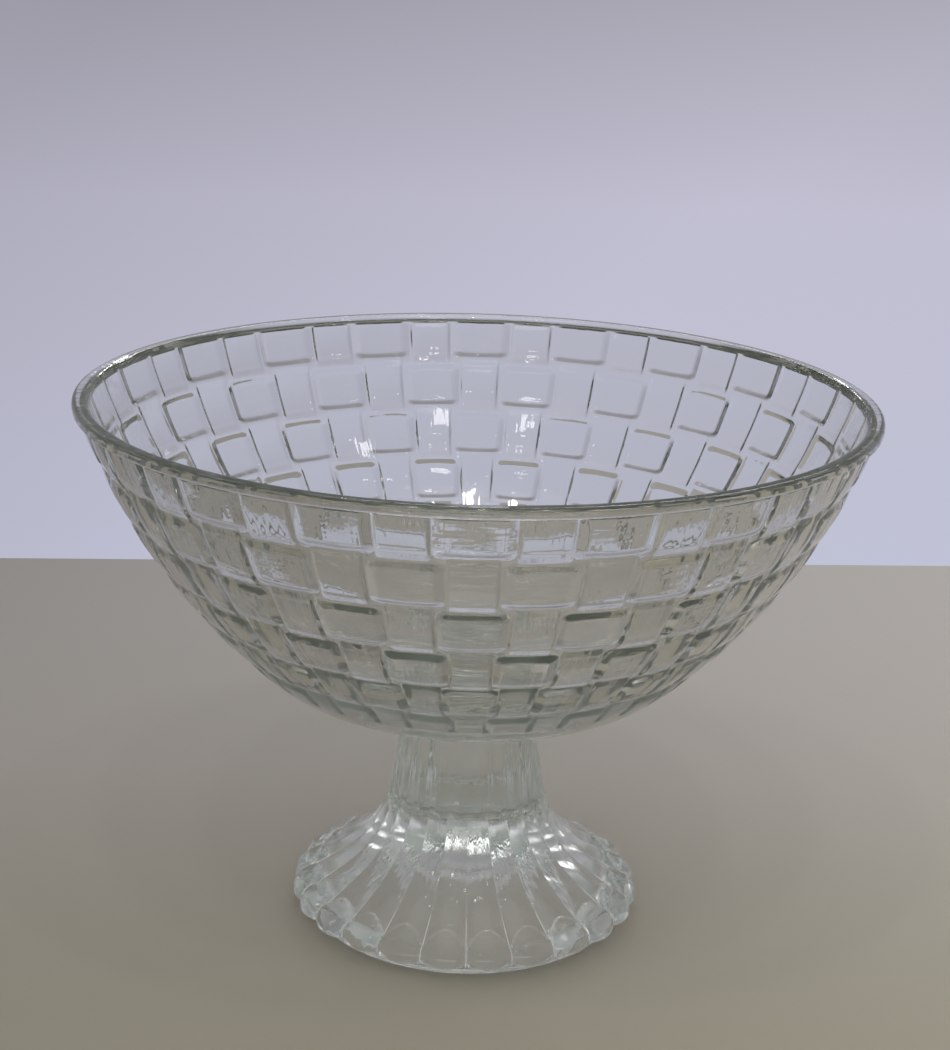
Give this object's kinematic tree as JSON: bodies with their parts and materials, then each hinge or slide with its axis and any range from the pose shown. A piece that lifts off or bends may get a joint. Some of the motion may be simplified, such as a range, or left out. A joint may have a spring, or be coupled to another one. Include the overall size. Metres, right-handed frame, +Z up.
{
  "type": "trifle bowl",
  "caption": "Clear pressed-glass footed bowl with a basket-weave outside and a hollow flared pedestal with rounded lobes.",
  "frame": {"origin": "middle of the foot, on the plane of the table", "axes": "+Z up along the bowl's axis; -Y is the front that the picture shows"},
  "size_m": [0.25, 0.25, 0.1753],
  "materials": {
    "clear_glass": "clear pressed glass, fire-polished, faint grey-green in thick places",
    "pedestal_glass": "clear pressed glass, fire-polished, thick, faint grey-green",
    "clear_bond": "clear cured adhesive film"
  },
  "bodies": {
    "root": {"bowl": "clear_glass", "pedestal": "pedestal_glass", "bond_disc": "clear_bond"}
  },
  "joints": []
}
